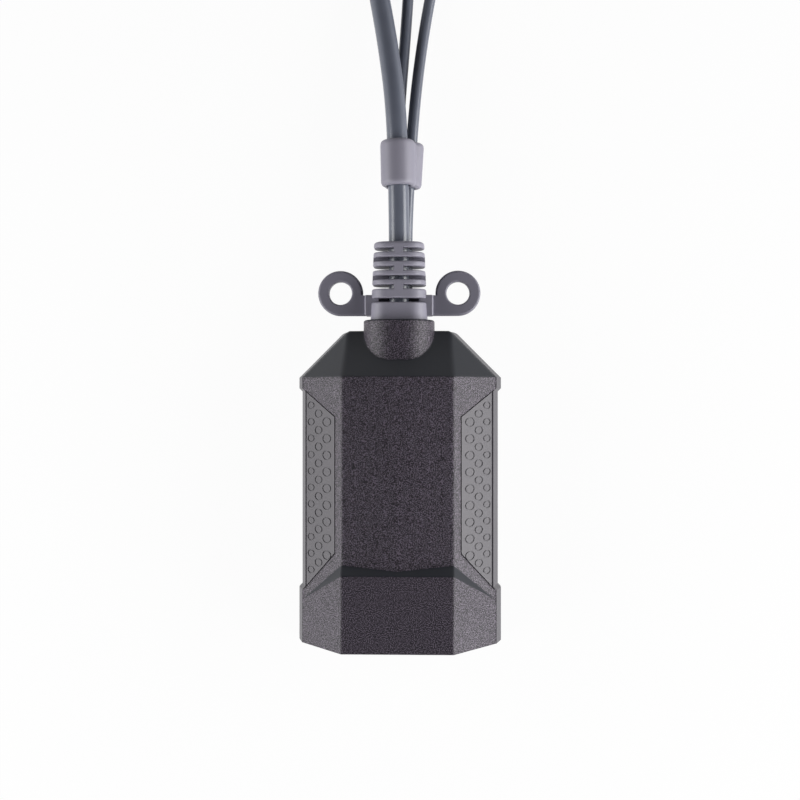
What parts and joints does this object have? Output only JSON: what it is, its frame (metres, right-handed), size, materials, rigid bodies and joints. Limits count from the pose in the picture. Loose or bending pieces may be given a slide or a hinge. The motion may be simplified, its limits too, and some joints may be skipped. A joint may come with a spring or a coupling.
{
  "type": "kvm over ip adapter",
  "caption": "Handheld faceted adapter with a network socket at one end, ring-marked side grips, and a slotted cable boot with eyelets from which video and keyboard leads run to their plugs.",
  "frame": {"origin": "centre of the flat back of the housing", "axes": "+Z out of the front of the housing, +Y along the leads, away from the network socket"},
  "size_m": [0.0615, 0.324, 0.0273],
  "materials": {
    "housing": "fine spark-eroded grain",
    "grip": "smooth satin",
    "boot": "satin moulded vinyl",
    "sleeve": "satin moulded vinyl",
    "lead": "satin extruded vinyl",
    "plug_grip": "satin moulded vinyl",
    "plug_shell": "nickel plated",
    "plug_core": "moulded",
    "board": "solder mask",
    "screw": "zinc plated",
    "jack": "moulded",
    "contact": "gold plated",
    "light_window": "translucent",
    "chip": "moulded epoxy",
    "thermal_pad": "soft silicone",
    "heat_sink": "anodised",
    "can": "drawn",
    "connector": "moulded nylon"
  },
  "bodies": {
    "root": {"upper_housing": "housing", "lower_housing": "housing", "left_grip": "grip", "right_grip": "grip", "strain_relief_boot": "boot", "bundle_sleeve": "sleeve", "video_lead": "lead", "usb_lead_a": "lead", "usb_lead_b": "lead", "video_lead_tail": "lead", "usb_lead_a_tail": "lead", "usb_lead_b_tail": "lead", "video_plug_grip": "plug_grip", "usb_plug_a_grip": "plug_grip", "usb_plug_b_grip": "plug_grip", "video_plug_shell": "plug_shell", "usb_plug_a_shell": "plug_shell", "usb_plug_b_shell": "plug_shell", "video_plug_core": "plug_core", "usb_plug_a_core": "plug_core", "usb_plug_b_core": "plug_core", "main_board": "board", "case_screws": "screw", "board_screws": "screw", "network_jack": "jack", "jack_contacts": "contact", "jack_lights": "light_window", "processor": "chip", "memory_chips": "chip", "flash_chip": "chip", "video_receiver": "chip", "usb_hub_chip": "chip", "inductors": "chip", "thermal_pad": "thermal_pad", "heat_sink": "heat_sink", "crystals": "can", "capacitors": "can", "video_header": "connector", "usb_a_header": "connector", "usb_b_header": "connector", "video_crimp_housing": "connector", "usb_a_crimp_housing": "connector", "usb_b_crimp_housing": "connector"}
  },
  "joints": []
}
